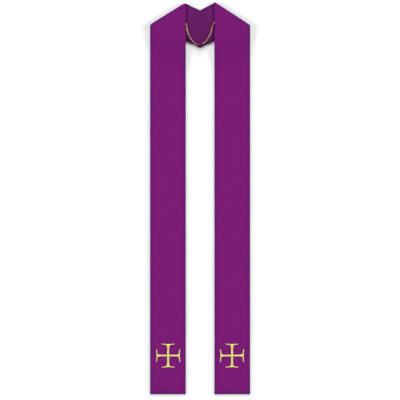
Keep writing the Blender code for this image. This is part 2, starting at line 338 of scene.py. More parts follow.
def add_strip(name, word, sections, thickness, shape, facing=1, inset=0.0, raised=0.0, step=0.0044):
    """A closed shell lofted through a strip's sections, laid on the folded strip's form.

    facing is 1 where the face is the show side and -1 where the wrong side is, and raised is how
    far the shell's middle is from the strip's towards its wrong side.  shape takes the places and
    gives the height that the cloth adds on its show side and beneath.
    """
    inner_x, inner_y, outer_x, outer_y, lift = lines_between(sections, inset)
    share, distance, height = round_section(BAND_WIDTH - 2 * inset, step)
    across = inner_x + (outer_x - inner_x) * share
    along = inner_y + (outer_y - inner_y) * share
    to_hem = along - HEM_Y
    to_back = (back_y(across) - along) * sin(NECK_TURN)
    to_end = np.clip(np.minimum(to_hem, to_back) / (END_ROUND * thickness), END_LEAST, 1.0)
    full = np.sqrt(1 - (1 - to_end) ** 2)
    droop = PILLOW_DROP * (1 - smooth_step(np.minimum(distance, to_hem) / PILLOW)) * (height > 0)
    half = thickness / 2 - np.minimum(droop, thickness / 3)
    x, y, z = lie(across, along, lift, facing * height * full * half - raised)
    over, under = shape(across, along, x, y)
    z = z + np.where(height > 0, over, under)
    rows, points = across.shape

    places = np.stack([SIDES[word] * x, y + laid_up(word, x, y), z], axis=2).reshape(-1, 3)
    start = np.arange(rows - 1)[:, None] * points
    this = np.arange(points)
    following = np.roll(this, -1)
    above = start + points
    quads = np.stack([start + this, start + following, above + following, above + this], axis=2)
    faces = quads.reshape(-1, 4).tolist()
    for end in (0, (rows - 1) * points):
        for i in range(points // 2):
            corners = [end + k % points for k in (i, i + 1, -i - 1, -i)]
            faces.append(list(dict.fromkeys(corners)))
    piece = add_closed_piece(name, places, faces)
    mesh = piece.data
    cut_place = mesh.uv_layers.new(name="cut_place")
    corner_points = np.zeros(len(mesh.loops), int)
    mesh.loops.foreach_get("vertex_index", corner_points)
    cut = np.stack([across - INNER_X, along - HEM_Y], axis=2).reshape(-1, 2)
    cut_place.data.foreach_set("uv", cut[corner_points].ravel())
    return Strip(piece, across, along, x, y, np.minimum(distance + 0 * lift, to_hem), height + 0 * lift)


def add_closed_piece(name, places, faces):
    """A piece from its points and faces, which are turned outwards and shaded smooth."""
    mesh = bpy.data.meshes.new(name)
    mesh.from_pydata(places.tolist(), [], faces)
    shape = bmesh.new()
    shape.from_mesh(mesh)
    bmesh.ops.recalc_face_normals(shape, faces=shape.faces)
    for face in shape.faces:
        face.smooth = True
    shape.to_mesh(mesh)
    shape.free()
    return place_in_scene(name, mesh)


def paint(piece, name, values):
    """Keeps a number for each of a piece's points, for its finish to read."""
    layer = piece.data.attributes.new(name, "FLOAT", "POINT")
    layer.data.foreach_set("value", np.asarray(values, np.float32).ravel())


def soft_rise(rise, ahead, beside):
    """How high a ripple or crease lifts the cloth, this far ahead of its middle and beside it."""
    turn = radians(rise.turn)
    lengthwise = (ahead * cos(turn) + beside * sin(turn)) / (rise.length / 2)
    sideways = (beside * cos(turn) - ahead * sin(turn)) / (rise.width / 2)
    return rise.height * np.exp(-2 * (lengthwise**2 + sideways**2))


def ripple_height(ripples, across, along):
    """How high the ripples raise the cloth at places on the straight strip."""
    return sum(
        soft_rise(ripple, along - HEM_Y - ripple.up, across - INNER_X - ripple.across * BAND_WIDTH)
        for ripple in ripples
    )


def share_at(shares, distance):
    """The share that a table gives at a distance."""
    return np.interp(distance, [each.distance for each in shares], [each.share for each in shares])


def feed(tree, socket, value):
    """Joins a socket to another, or sets it to a number or a colour."""
    if isinstance(value, bpy.types.NodeSocket):
        tree.links.new(value, socket)
    elif value is not None:
        socket.default_value = value


def put(tree, kind, *values, **settings):
    """A new node.  Each value is a socket to join or a number to set, in the order of its inputs."""
    made = tree.nodes.new("ShaderNode" + kind)
    for name, setting in settings.items():
        setattr(made, name, setting)
    for socket, value in zip(made.inputs, values):
        feed(tree, socket, value)
    return made.outputs[0]


def maths(tree, operation, *values, clamp=False):
    """The outcome of one sum done on sockets or numbers."""
    return put(tree, "Math", *values, operation=operation, use_clamp=clamp)


def mix_colours(tree, share, first, second):
    """The first colour turned into the second by a share."""
    mix = put(tree, "Mix", share, data_type="RGBA").node
    for socket, colour in zip(mix.inputs[6:8], (first, second)):
        feed(tree, socket, colour)
    return mix.outputs[2]


def painted(tree, name):
    """A number that was kept for each point of the piece."""
    return put(tree, "Attribute", attribute_name=name).node.outputs["Fac"]


def add_relief(tree, shader, height, strength, depth):
    """Shades the surface by a height, as if it stood up by this depth."""
    bump = put(tree, "Bump", strength, depth).node
    tree.links.new(height, bump.inputs["Height"])
    tree.links.new(bump.outputs[0], shader.inputs["Normal"])


def new_group(name, inputs, outputs):
    """A node group with these named sockets, and the nodes that hold them inside it."""
    group = bpy.data.node_groups.new(name, "ShaderNodeTree")
    for label, kind in inputs.items():
        group.interface.new_socket(label, in_out="INPUT", socket_type="NodeSocket" + kind)
    for label, kind in outputs.items():
        group.interface.new_socket(label, in_out="OUTPUT", socket_type="NodeSocket" + kind)
    return group, group.nodes.new("NodeGroupInput").outputs, group.nodes.new("NodeGroupOutput").inputs


def use_group(tree, group, **values):
    """A group placed in a material with its own values, as its outputs."""
    placed = tree.nodes.new("ShaderNodeGroup")
    placed.node_tree = group
    for label, value in values.items():
        feed(tree, placed.inputs[label.replace("_", " ")], value)
    return placed.outputs


def new_finish(name, roughness, **constants):
    """A material, its node tree and its Principled shader with the constants set on it."""
    finish = bpy.data.materials.new(name)
    finish.use_nodes = True
    shader = finish.node_tree.nodes["Principled BSDF"]
    shader.inputs["Roughness"].default_value = roughness
    for label, value in constants.items():
        shader.inputs[label.replace("_", " ")].default_value = value
    return finish, finish.node_tree, shader


def weave_group():
    """Threads over and under each other, from a place in the cut and the spacing of the threads.

    Twill is 0 for a plain weave and 1 for a slanting rib.  Height is the threads' relief, Slub the
    thick and thin of single threads, and Cloud the slow change of shade over the cloth.
    """
    group, given, result = new_group(
        "weave",
        {"Place": "Vector", "Spacing": "Float", "Twill": "Float"},
        {"Height": "Float", "Slub": "Float", "Cloud": "Float"},
    )
    per_metre = maths(group, "DIVIDE", pi, given["Spacing"])
    scaled = put(group, "VectorMath", given["Place"], operation="SCALE")
    group.links.new(per_metre, scaled.node.inputs["Scale"])
    split = put(group, "SeparateXYZ", scaled).node.outputs
    warp = maths(group, "SINE", split["X"])
    weft = maths(group, "SINE", split["Y"])
    plain = maths(group, "MULTIPLY", warp, weft)
    both = maths(group, "ADD", split["X"], split["Y"])
    slant = maths(group, "SINE", maths(group, "MULTIPLY", both, 0.5))
    pattern = put(group, "Mix", given["Twill"], None, plain, slant)
    crispness = 1.6
    over = maths(group, "MULTIPLY_ADD", pattern, crispness, 0.5, clamp=True)
    warp_round = maths(group, "ABSOLUTE", warp)
    weft_round = maths(group, "ABSOLUTE", weft)
    group.links.new(put(group, "Mix", over, None, weft_round, warp_round), result["Height"])
    slubs = []
    slub_fineness, cloud_fineness = 900.0, 16.0
    drawn_out = 0.02
    for stretch in ((1.0, drawn_out, 0.0), (drawn_out, 1.0, 0.0)):
        drawn = put(group, "VectorMath", given["Place"], stretch, operation="MULTIPLY")
        slubs.append(put(group, "TexNoise", drawn, None, slub_fineness, 2.0))
    group.links.new(put(group, "Mix", over, None, slubs[1], slubs[0]), result["Slub"])
    group.links.new(put(group, "TexNoise", given["Place"], None, cloud_fineness, 3.0, 0.55), result["Cloud"])
    return group


SLUB_SHADE = 0.16  # from the thinnest thread to the thickest
# Painted shade between the threads and painted light on top of them.
HOLLOW_SHADE, THREAD_SHADE = 0.85, 1.09  # between the threads and on top of them


def add_weave(tree, shader, spacing, twill, colour, shade_colour, wrong_side_shade_colour, relief, cloudiness):
    """Weaves a cloth into its finish: colours, tones, painted shade and threads that follow the cut."""
    place = put(tree, "UVMap", uv_map="cut_place")
    threads = use_group(tree, weave, Place=place, Spacing=spacing, Twill=twill)
    cloud = maths(tree, "MULTIPLY_ADD", threads["Cloud"], 2 * cloudiness, 1 - cloudiness)
    slub = maths(tree, "MULTIPLY_ADD", threads["Slub"], SLUB_SHADE, 1 - SLUB_SHADE / 2)
    # Painted shade in the hollows between the threads, painted light on their tops.
    hollow = maths(tree, "MULTIPLY_ADD", threads["Height"], THREAD_SHADE - HOLLOW_SHADE, HOLLOW_SHADE)
    light = maths(tree, "MULTIPLY", maths(tree, "MULTIPLY", cloud, slub), hollow)
    # Painted shade: the colour goes over to the darker shade colour where the edge mask is painted.
    right_side = mix_colours(tree, painted(tree, "painted_shade"), (*colour, 1.0), (*shade_colour, 1.0))
    # Partly the cloth's wrong side, partly painted shade: darker where the wrong-side mask is painted.
    dyed_and_shaded = mix_colours(tree, painted(tree, "wrong_side_shade"), right_side, (*wrong_side_shade_colour, 1.0))
    shaded = put(tree, "HueSaturation", 0.5, 1.0, light, 1.0, dyed_and_shaded)
    tree.links.new(shaded, shader.inputs["Base Color"])
    raised = maths(tree, "MULTIPLY_ADD", threads["Slub"], 0.5, threads["Height"])
    add_relief(tree, shader, raised, strength=relief, depth=spacing / 2)


def side_cloth_finish():
    """Matt purple cloth, close woven, darker and bluer along its edges and the fold's crest with painted
    shade.
    """
    finish, tree, shader = new_finish("purple_cloth", 0.90, Specular_IOR_Level=0.0, Sheen_Weight=0.006)
    shader.inputs["Sheen Tint"].default_value = (0.75, 0.25, 0.70, 1.0)
    add_weave(
        tree,
        shader,
        spacing=0.00055,
        twill=0.0,
        colour=(0.1570, 0.0099, 0.1386),
        # the painted shade along the edges: a darker, bluer purple
        shade_colour=(0.062, 0.0070, 0.112),
        # the wrong side round the neck: its own colour with painted shade, much darker than the face
        wrong_side_shade_colour=(0.062, 0.0050, 0.062),
        relief=0.35,
        cloudiness=0.02,
    )
    return finish


weave = weave_group()
purple_cloth = side_cloth_finish()
for word in SIDES:
    def ripples_over(across, along, x, y):
        height = ripple_height(RIPPLES[word], across, along)
        return height, RIPPLE_BENEATH * height

    strip = add_strip(f"side_cloth_{word}", word, side_sections(), CLOTH, ripples_over)
    piece = strip.piece
    piece.data.materials.append(purple_cloth)
    past_fold = (strip.across - FOLD_START[0]) * FOLD_OUT[0] + (strip.along - FOLD_START[1]) * FOLD_OUT[1]
    from_crest = np.abs(past_fold - FOLD_LENGTH / 2)
    # Painted shade, darkest at the edges and the fold's crest, fading inwards.
    edge_shade_share = share_at(EDGE_SHADE, np.minimum(strip.from_edge, from_crest))
    past_neck = (strip.along > below_neck_y(INNER_X, 0.0)) * (strip.across < MIDDLE_X) * (past_fold < 0)
    paint(piece, "painted_shade", edge_shade_share * np.where(past_neck, EDGE_SHADE_BY_NECK, 1.0))
    # The wrong side past the fold shows as a rim round the neck, painted dark: partly its own colour, partly
    # painted shade.
    paint(piece, "wrong_side_shade", smooth_step(-2 * strip.height) * (past_fold > 0))
    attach(piece, "root")
    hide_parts(f"front_{word}", f"neck_{word}")

# ---------------------------------------------------------------- the neck lining
# The back of the neck is lined with a darker, smoother purple twill, turned in just short of the
# edges and slip-stitched down.  It shows between the fronts, lies a little loose there, and is
# seamed at the centre back like the cloth beneath it.

LINING_LOW, LINING_HIGH = (corner.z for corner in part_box("lining_right"))
LINING = LINING_HIGH - LINING_LOW
LINING_INSET = 0.0035  # from the edges of the neck
LINING_DROP = 0.0003  # its turned edges are drawn down to the cloth
LINING_HELD = 0.0040  # it lies still this close to an edge or a front

# A fold in the loose lining where it shows, placed on the stole as it lies.
Crease = namedtuple("Crease", "x y length width height turn")
LINING_CREASES = (
    Crease(-0.0352, 0.586, 0.100, 0.0110, 0.00022, 88),
    Crease(0.0345, 0.590, 0.090, 0.0120, 0.00018, 93),
    Crease(0.0010, 0.6215, 0.054, 0.0050, 0.00020, 2),
    Crease(-0.0120, 0.572, 0.060, 0.0220, 0.00012, 64),
    Crease(0.0150, 0.556, 0.056, 0.0200, 0.00012, 118),
)

# How much painted shade darkens the lining by the distance in from the neck's upper and lower edge,
# and how much painted shadow a front throws on it by the distance from that front.
SHADE_BY_UPPER_EDGE = (Share(0.000, 0.55), Share(0.004, 0.32), Share(0.008, 0.00))
SHADE_BY_LOWER_EDGE = (Share(0.000, 0.60), Share(0.005, 0.38), Share(0.010, 0.08), Share(0.014, 0.00))
SHADOW_BY_FRONT = (
    Share(0.0000, 0.80),
    Share(0.0030, 0.50),
    Share(0.0065, 0.22),
    Share(0.0100, 0.02),
    Share(0.0130, 0.00),
    Share(0.0240, 0.05),
    Share(0.0480, 0.12),
)


def lining_sections():
    """The sections of half the lining, from the shoulder fold to the centre back."""
    shoulder = [fold_y(x, FOLD_LENGTH + SEAM_GAP) for x in edges(inset=LINING_INSET)]
    return (
        Section("shoulder", *shoulder, 0, 0, 80),
        *back_sections(LINING_INSET),
    )


def lining_finish():
    """Dark purple twill with a faint sheen along its ribs, and painted shade by its edges and the fronts."""
    finish, tree, shader = new_finish("lining_twill", 0.66, Specular_IOR_Level=0.04, Sheen_Weight=0.006)
    shader.inputs["Sheen Tint"].default_value = (0.60, 0.30, 0.60, 1.0)
    add_weave(
        tree,
        shader,
        spacing=0.00040,
        twill=1.0,
        colour=(0.1090, 0.0086, 0.1026),
        # the painted shade and shadow: a near-black purple
        shade_colour=(0.034, 0.0012, 0.028),
        wrong_side_shade_colour=(0.080, 0.0036, 0.074),
        relief=0.22,
        cloudiness=0.03,
    )
    return finish


lining_twill = lining_finish()
lining_raised = (LINING_LOW + LINING_HIGH - CLOTH) / 2
for word, side in SIDES.items():
    def loose(across, along, x, y):
        creases = sum(soft_rise(crease, side * x - crease.x, y - crease.y) for crease in LINING_CREASES)
        clear_of_front = smooth_step((INNER_X - np.abs(x)) / LINING_HELD)
        from_edge = np.minimum(across - INNER_X, OUTER_X - across) - LINING_INSET
        drawn_down = LINING_DROP * (1 - smooth_step(from_edge / LINING_HELD))
        height = creases * clear_of_front - drawn_down
        return height, height

    strip = add_strip(
        f"neck_lining_{word}", word, lining_sections(), LINING, loose,
        facing=-1, inset=LINING_INSET, raised=lining_raised, step=0.0024,
    )
    piece = strip.piece
    piece.data.materials.append(lining_twill)
    # Painted shade along the neck's edges, and the painted shadow of the fronts beside them.
    upper = share_at(SHADE_BY_UPPER_EDGE, strip.across - INNER_X)
    lower = share_at(SHADE_BY_LOWER_EDGE, OUTER_X - strip.across)
    beside_front = share_at(SHADOW_BY_FRONT, np.maximum(INNER_X - strip.x, 0.0))
    paint(piece, "painted_shade", 1 - (1 - upper) * (1 - lower) * (1 - beside_front))
    paint(piece, "wrong_side_shade", 0 * strip.x)
    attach(piece, "root")
    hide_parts(f"lining_{word}")

# ---------------------------------------------------------------- the slip stitches
# The lining's turned edges are caught down to the side cloth by hand, with short slanting stitches
# of matching sewing thread a few millimetres apart.

STITCH_SPACING = 0.0042
STITCH_LENGTH = 0.0016
STITCH_OUT, STITCH_IN = 0.35, 0.45  # shares of its length outside the lining's edge and inside
STITCH_SLANT = 0.35, 0.60  # least and most, as shares of its length
STITCH_UNEVEN = 0.15  # of the spacing
STITCH_WIDTH, STITCH_DEPTH = 0.00034, 0.00028
STITCH_RISE, STITCH_SINK = 0.00042, 0.00010
STITCHES_FROM_FOLD = 0.004
STITCHES_FROM_BACK = 0.003
THREAD_SIDES = 6
THREAD_TIP = 0.55  # how thick a thread's ends are, as a share of its middle
stitch_luck = np.random.default_rng(7)


def add_threads(name, lines, sideways, width, depth, luck):
    """One piece of many threads, each an oval tube with closed ends and a shade of its own.

    lines is threads by points by 3, and sideways gives the direction of each thread's width.
    """
    sideways = sideways[:, None, :]
    forward = np.gradient(lines, axis=1)
    forward /= np.linalg.norm(forward, axis=2, keepdims=True)
    upward = np.cross(forward, np.broadcast_to(sideways, forward.shape))
    upward /= np.linalg.norm(upward, axis=2, keepdims=True)
    threads, points, _ = lines.shape
    thin = np.ones(points)
    thin[[0, -1]] = THREAD_TIP
    rings = []
    for turn in np.arange(THREAD_SIDES) * 2 * pi / THREAD_SIDES:
        swell = sideways * cos(turn) * width / 2 + upward * sin(turn) * depth / 2
        rings.append(lines + swell * thin[None, :, None])
    places = np.stack(rings, axis=2).reshape(-1, 3)
    base = (np.arange(threads) * points * THREAD_SIDES)[:, None, None]
    row = base + (np.arange(points - 1) * THREAD_SIDES)[None, :, None]
    next_row = row + THREAD_SIDES
    this = np.arange(THREAD_SIDES)[None, None, :]
    following = (this + 1) % THREAD_SIDES
    corners = (row + this, row + following, next_row + following, next_row + this)
    faces = np.stack(np.broadcast_arrays(*corners), axis=3).reshape(-1, 4).tolist()
    for thread in range(threads):
        first = thread * points * THREAD_SIDES
        last = first + (points - 1) * THREAD_SIDES
        faces.append([first + i for i in reversed(range(THREAD_SIDES))])
        faces.append([last + i for i in range(THREAD_SIDES)])
    piece = add_closed_piece(name, places, faces)
    paint(piece, "own_shade", np.repeat(luck.uniform(0, 1, threads), points * THREAD_SIDES))
    return piece


def twist_group():
    """The slant of a twisted thread's strands, and the change of shade from thread to thread."""
    group, given, result = new_group(
        "twisted thread",
        {"Place": "Vector", "Strand": "Float", "Own Shade": "Float", "Variation": "Float"},
        {"Height": "Float", "Shade": "Float"},
    )
    fine = maths(group, "DIVIDE", 1.0, given["Strand"])
    slanting = put(group, "Mapping", given["Place"], None, (0.3, 0.2, 0.8)).node
    wave = put(group, "TexWave", slanting.outputs[0], None, 1.5, 1.0).node
    group.links.new(fine, wave.inputs["Scale"])
    group.links.new(wave.outputs["Fac"], result["Height"])
    fibre = put(group, "TexNoise", given["Place"], None, 3000.0, 1.0)
    spread = maths(group, "MULTIPLY", maths(group, "SUBTRACT", given["Own Shade"], 0.5), given["Variation"])
    fuzz = maths(group, "MULTIPLY", maths(group, "SUBTRACT", fibre, 0.5), given["Variation"])
    group.links.new(maths(group, "ADD", maths(group, "ADD", spread, fuzz), 1.0), result["Shade"])
    return group


twist = twist_group()


def thread_finish(name, colour, roughness, variation, specular, sheen=0.0, **constants):
    """Twisted thread, each length of it a slightly different shade."""
    finish, tree, shader = new_finish(
        name, roughness, Specular_IOR_Level=specular, Sheen_Weight=sheen, **constants
    )
    place = put(tree, "TexCoord").node.outputs["Object"]
    own = painted(tree, "own_shade")
    strands = use_group(tree, twist, Place=place, Strand=0.0006, Own_Shade=own, Variation=variation)
    shade = put(tree, "HueSaturation", 0.5, 1.0, strands["Shade"], 1.0, (*colour, 1.0))
    tree.links.new(shade, shader.inputs["Base Color"])
    add_relief(tree, shader, strands["Height"], strength=0.25, depth=0.0001)
    return finish


def arch(start, end, rise, sink, points=6):
    """A thread's line from start to end: it comes up out of the cloth, arches and goes back in."""
    share = np.linspace(0.0, 1.0, points)[None, :, None]
    line = start[:, None, :] + (end - start)[:, None, :] * share
    hump = 1 - np.abs(2 * share[0, :, 0] - 1) ** 3
    line[:, :, 2] += np.reshape(rise, (-1, 1)) * hump - np.reshape(sink, (-1, 1)) * (1 - hump)
    return line


purple_thread = thread_finish("purple_sewing_thread", (0.100, 0.008, 0.092), 0.60, 0.25, 0.10)
for word, side in SIDES.items():
    starts = []
    ends = []
    for edge in (0, 1):
        at_shoulder = fold_y(edges(0.0, LINING_INSET)[edge], FOLD_LENGTH + STITCHES_FROM_FOLD)
        at_back = back_y(edges(1.0, LINING_INSET)[edge]) - STITCHES_FROM_BACK
        count = round((at_back - at_shoulder) / STITCH_SPACING)
        uneven = stitch_luck.uniform(-STITCH_UNEVEN, STITCH_UNEVEN, count)
        share = (np.arange(count) + uneven) / (count - 1)
        on_edge = edges(0.0, LINING_INSET)[edge] + (0.5 - edge) * (BAND_WIDTH - NECK_WIDTH) * share
        along = at_shoulder + (at_back - at_shoulder) * share
        outwards = 1 if edge else -1
        slant = STITCH_LENGTH * stitch_luck.uniform(*STITCH_SLANT, count)
        outside = on_edge + outwards * STITCH_LENGTH * STITCH_OUT
        inside = on_edge - outwards * STITCH_LENGTH * STITCH_IN
        out_x, out_y, out_z = lie(outside, along + slant, 0.0, -CLOTH / 2)
        in_x, in_y, in_z = lie(inside, along - slant, 0.0, -lining_raised)
        out_y = out_y + laid_up(word, out_x, out_y)
        in_y = in_y + laid_up(word, in_x, in_y)
        starts.append(np.stack([side * out_x, out_y, out_z], axis=1))
        ends.append(np.stack([side * in_x, in_y, in_z + LINING / 4], axis=1))
    starts = np.vstack(starts)
    ends = np.vstack(ends)
    straight = ends - starts
    straight[:, 2] = 0.0
    sideways = np.cross(straight / np.linalg.norm(straight, axis=1, keepdims=True), (0.0, 0.0, 1.0))
    lines = arch(starts, ends, STITCH_RISE, STITCH_SINK)
    name = f"slip_stitches_{word}"
    piece = add_threads(name, lines, sideways, STITCH_WIDTH, STITCH_DEPTH, stitch_luck)
    piece.data.materials.append(purple_thread)
    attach(piece, "root")

# ---------------------------------------------------------------- the crosses
# A cross with barred, flared ends is embroidered on each front above the hem.  It is satin stitch
# in pale gold rayon thread: threads lie side by side straight across each arm and each bar, over a
# padding of the same thread.

CROSS_LOW, CROSS_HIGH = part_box("cross_right")
CROSS_SMALLER = 0.0010  # than the space kept for it
CROSS_LOWER = 0.0002
CROSS_HEIGHT = CROSS_HIGH.y - CROSS_LOW.y - CROSS_SMALLER
CROSS_X = (CROSS_LOW.x + CROSS_HIGH.x) / 2
CROSS_Y = (CROSS_LOW.y + CROSS_HIGH.y) / 2 - CROSS_LOWER
STEM_WIDTH = 0.0062
ARM_WIDTH = 0.0053  # of the level arms
SERIF_LENGTH = 0.0425
SERIF_THICKNESS = 0.0031
SERIF_TIP = 0.0021  # its thickness at its tips
SERIF_DIP = 0.0013  # how far the middle of a bar's outer edge lies in from its tips
FLARE_WIDTH = 0.0062
FLARE_LENGTH = 0.0120
UNDER_BAR = 0.0012  # an arm's stitches run on under its bar
UNDER_STEM = 0.0006  # and a level arm's under the upright
SATIN_SPACING = 0.00040
SATIN_WIDTH = 0.00052
SATIN_DEPTH = 0.00034
SATIN_WANDER = 0.00009
SATIN_RISE = 0.00075  # of the middle of a stitch
SATIN_FULL_LENGTH = 0.0040  # a shorter stitch rises less
SATIN_LEAST_RISE = 0.45  # as a share of the full one
SATIN_UNEVEN = 0.00003  # of its rise
SATIN_SINK = 0.00020
STEM_HIGHER, BAR_HIGHER = 0.00004, 0.00006  # than a level arm's stitches
PADDING_RISE, PADDING_SINK = 0.00035, 0.00020  # above and into the cloth
PADDING_INSET = 0.0005
satin_luck = np.random.default_rng(23)


def bar_outer(x):
    """The outer edge of an arm's bar, out from the middle of the cross."""
    return CROSS_HEIGHT / 2 - SERIF_DIP * (1 - (x / (SERIF_LENGTH / 2)) ** 2)


def bar_inner(x):
    """The inner edge of an arm's bar, which narrows towards its tips."""
    return bar_outer(x) - SERIF_THICKNESS + (SERIF_THICKNESS - SERIF_TIP) * np.abs(x) / (SERIF_LENGTH / 2)


def arm_stitches(width, first, last):
    """Stitches across one arm: the half width of each, and how far out it is."""
    foot = bar_inner(width / 2 + FLARE_WIDTH)
    out = np.arange(first, last, SATIN_SPACING)
    into_flare = np.clip(1 - (foot - out) / FLARE_LENGTH, 0.0, 1.0)
    half = width / 2 + FLARE_WIDTH * (1 - np.sqrt(1 - into_flare**2))
    return np.stack([half, out, -half, out], axis=1)


def bar_stitches():
    """Stitches across one arm's bar, from tip to tip, shorter in its round ends."""
    round_end = SERIF_TIP / 2
    reach = SERIF_LENGTH / 2 - SATIN_SPACING / 2
    x = np.arange(-reach, reach, SATIN_SPACING)
    past_straight = np.clip((np.abs(x) - (SERIF_LENGTH / 2 - round_end)) / round_end, 0.0, 1.0)
    half = (bar_outer(x) - bar_inner(x)) / 2 * np.sqrt(1 - past_straight**2)
    middle = (bar_outer(x) + bar_inner(x)) / 2
    return np.stack([x, middle + half, x, middle - half], axis=1)


def turned(stitches, quarters):
    """The stitches of the upper arm, turned to another arm."""
    turn = quarters * pi / 2
    matrix = np.array(((cos(turn), sin(turn)), (-sin(turn), cos(turn))))
    return (stitches.reshape(-1, 2) @ matrix).reshape(-1, 4)


def cross_stitches():
    """Every stitch of a cross, and how much higher than the others it lies."""
    foot = bar_inner(0) + UNDER_BAR
    groups = []
    for quarter in range(4):
        upright = quarter % 2 == 0
        width = STEM_WIDTH if upright else ARM_WIDTH
        first = 0.0 if upright else STEM_WIDTH / 2 - UNDER_STEM
        arm_higher = STEM_HIGHER if upright else 0.0
        groups.append((turned(arm_stitches(width, first, foot), quarter), arm_higher))
        groups.append((turned(bar_stitches(), quarter), BAR_HIGHER))
    stitches = np.vstack([group for group, _ in groups])
    extra = np.concatenate([np.full(len(group), higher) for group, higher in groups])
    return stitches, extra


def add_padding(name, side):
    """The padding under a cross's stitches: its outline, drawn in a little, with a flat top."""
    half_arm = ARM_WIDTH / 2 - PADDING_INSET
    flare_end = STEM_WIDTH / 2 + FLARE_WIDTH
    foot = bar_inner(flare_end)
    tip = SERIF_LENGTH / 2 - SERIF_TIP / 2
    radius = SERIF_TIP / 2 - PADDING_INSET
    quarter = [(half_arm, half_arm)]
    for turn in np.linspace(0, pi / 2, 9):
        y = foot - FLARE_LENGTH * (1 - sin(turn)) + PADDING_INSET
        quarter.append((half_arm + FLARE_WIDTH * (1 - cos(turn)), y))
    past_flare = flare_end + 0.002
    for x in np.linspace(past_flare, tip, 4):
        quarter.append((x, bar_inner(x) + PADDING_INSET))
    for turn in np.linspace(-pi / 3, pi / 3, 5):
        quarter.append((tip + radius * cos(turn), bar_outer(tip) - SERIF_TIP / 2 + radius * sin(turn)))
    for x in np.linspace(tip, 0, 6):
        quarter.append((x, bar_outer(x) - PADDING_INSET))
    mirrored = [(-x, y) for x, y in reversed(quarter[1:-1])]
    outline = []
    for arm in range(4):
        turn = Matrix.Rotation(arm * pi / 2, 2)
        outline += [turn @ Vector(point) for point in quarter + mirrored]
    shape = bmesh.new()
    rings = []
    for height in (CLOTH - PADDING_SINK, CLOTH + PADDING_RISE):
        rings.append([shape.verts.new((side * CROSS_X + p.x, CROSS_Y + p.y, height)) for p in outline])
    count = len(outline)
    for i in range(count):
        j = (i + 1) % count
        shape.faces.new((rings[0][i], rings[0][j], rings[1][j], rings[1][i]))
    shape.faces.new(rings[1])
    shape.faces.new(reversed(rings[0]))
    bmesh.ops.recalc_face_normals(shape, faces=shape.faces)
    bmesh.ops.triangulate(shape, faces=[face for face in shape.faces if len(face.verts) > 4])
    mesh = bpy.data.meshes.new(name)
    shape.to_mesh(mesh)
    shape.free()
    return place_in_scene(name, mesh)


gold_rayon = thread_finish("gold_rayon_thread", (0.648, 0.598, 0.166), 0.42, 0.16, 0.30)
for word, side in SIDES.items():
    stitches, extra = cross_stitches()
    stitches = stitches + satin_luck.uniform(-SATIN_WANDER, SATIN_WANDER, stitches.shape)
    middle = side * CROSS_X, CROSS_Y
    on_cloth = np.full(len(extra), CLOTH)
    starts = np.column_stack([stitches[:, :2] + middle, on_cloth])
    ends = np.column_stack([stitches[:, 2:] + middle, on_cloth])
    straight = ends - starts
    length = np.linalg.norm(straight, axis=1)
    sideways = np.cross(straight / length[:, None], (0.0, 0.0, 1.0))
    rise = SATIN_RISE * np.clip(length / SATIN_FULL_LENGTH, SATIN_LEAST_RISE, 1.0) + extra
    rise = rise + satin_luck.uniform(-SATIN_UNEVEN, SATIN_UNEVEN, len(extra))
    lines = arch(starts, ends, rise, SATIN_SINK, points=8)
    name = f"cross_stitches_{word}"
    piece = add_threads(name, lines, sideways, SATIN_WIDTH, SATIN_DEPTH, satin_luck)
    piece.data.materials.append(gold_rayon)
    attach(piece, "root")
    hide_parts(f"cross_{word}")
    padding = add_padding(f"cross_padding_{word}", side)
    padding.data.materials.append(gold_rayon)
    paint(padding, "own_shade", np.full(len(padding.data.vertices), 0.2))
    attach(padding, "root")

# ---------------------------------------------------------------- the sewn rings
# A small plain ring of antique gold-coloured wire is sewn flat to the inner edge of each front with
# a few tight turns of rose-purple thread.  The neck chain hangs from it.

SEWN_RING, SEWN_WIRE = 0.0064, 0.0012
SEWN_AT = {"left": (-0.0466, 0.5838), "right": (0.0471, 0.5884)}
SEWN_HEIGHT = CLOTH + LAYER_RISE + SEAM_GAP + SEWN_WIRE / 2
SEWN_DULL = 0.72  # how far its plating has darkened, even on the outside
TACKS = 5
TACK_SPREAD = 42  # degrees each way from straight into the front
TACK_UNEVEN = 4
TACK_WIDTH = 0.00040
TACK_IN, TACK_OUT, TACK_OVER = 0.8, 1.4, 0.3  # thread widths past the wire, each way and above it
TACK_SINK = 0.0003
tack_luck = np.random.default_rng(5)


def wire_ring(path, normal, radius, sides=10, closed=True):
    """A wire along a flat line: its places, its faces, and how dark its plating has gone.

    The line's points are in its own plane, whose normal this is.  The wire stays bright where it
    is rubbed, on its outside, and darkens in its hollows.
    """
    path = np.asarray(path, float)
    normal = np.asarray(normal, float)
    if closed:
        forward = np.roll(path, -1, axis=0) - np.roll(path, 1, axis=0)
    else:
        forward = np.gradient(path, axis=0)
    forward /= np.linalg.norm(forward, axis=1, keepdims=True)
    outward = np.cross(forward, normal)
    turns = np.arange(sides) * 2 * pi / sides
    reach = np.reshape(radius, (-1, 1, 1))
    places = path[:, None, :] + reach * (
        np.cos(turns)[None, :, None] * outward[:, None, :] + np.sin(turns)[None, :, None] * normal
    )
    count = len(path)
    dark = np.tile(0.5 - 0.5 * np.cos(turns), count)
    faces = []
    for i in range(count if closed else count - 1):
        for j in range(sides):
            following = (j + 1) % sides
            next_row = (i + 1) % count
            here, there = i * sides, next_row * sides
            faces.append([here + j, here + following, there + following, there + j])
    if not closed:
        faces.append(list(reversed(range(sides))))
        faces.append([(count - 1) * sides + j for j in range(sides)])
    return places.reshape(-1, 3), faces, dark


def circle(radius, count, start=0.0, end=2 * pi, whole=True):
    """Points round a flat circle or an arc of one."""
    turns = np.linspace(start, end, count, endpoint=not whole)
    return np.stack([radius * np.cos(turns), radius * np.sin(turns), 0 * turns], axis=1)


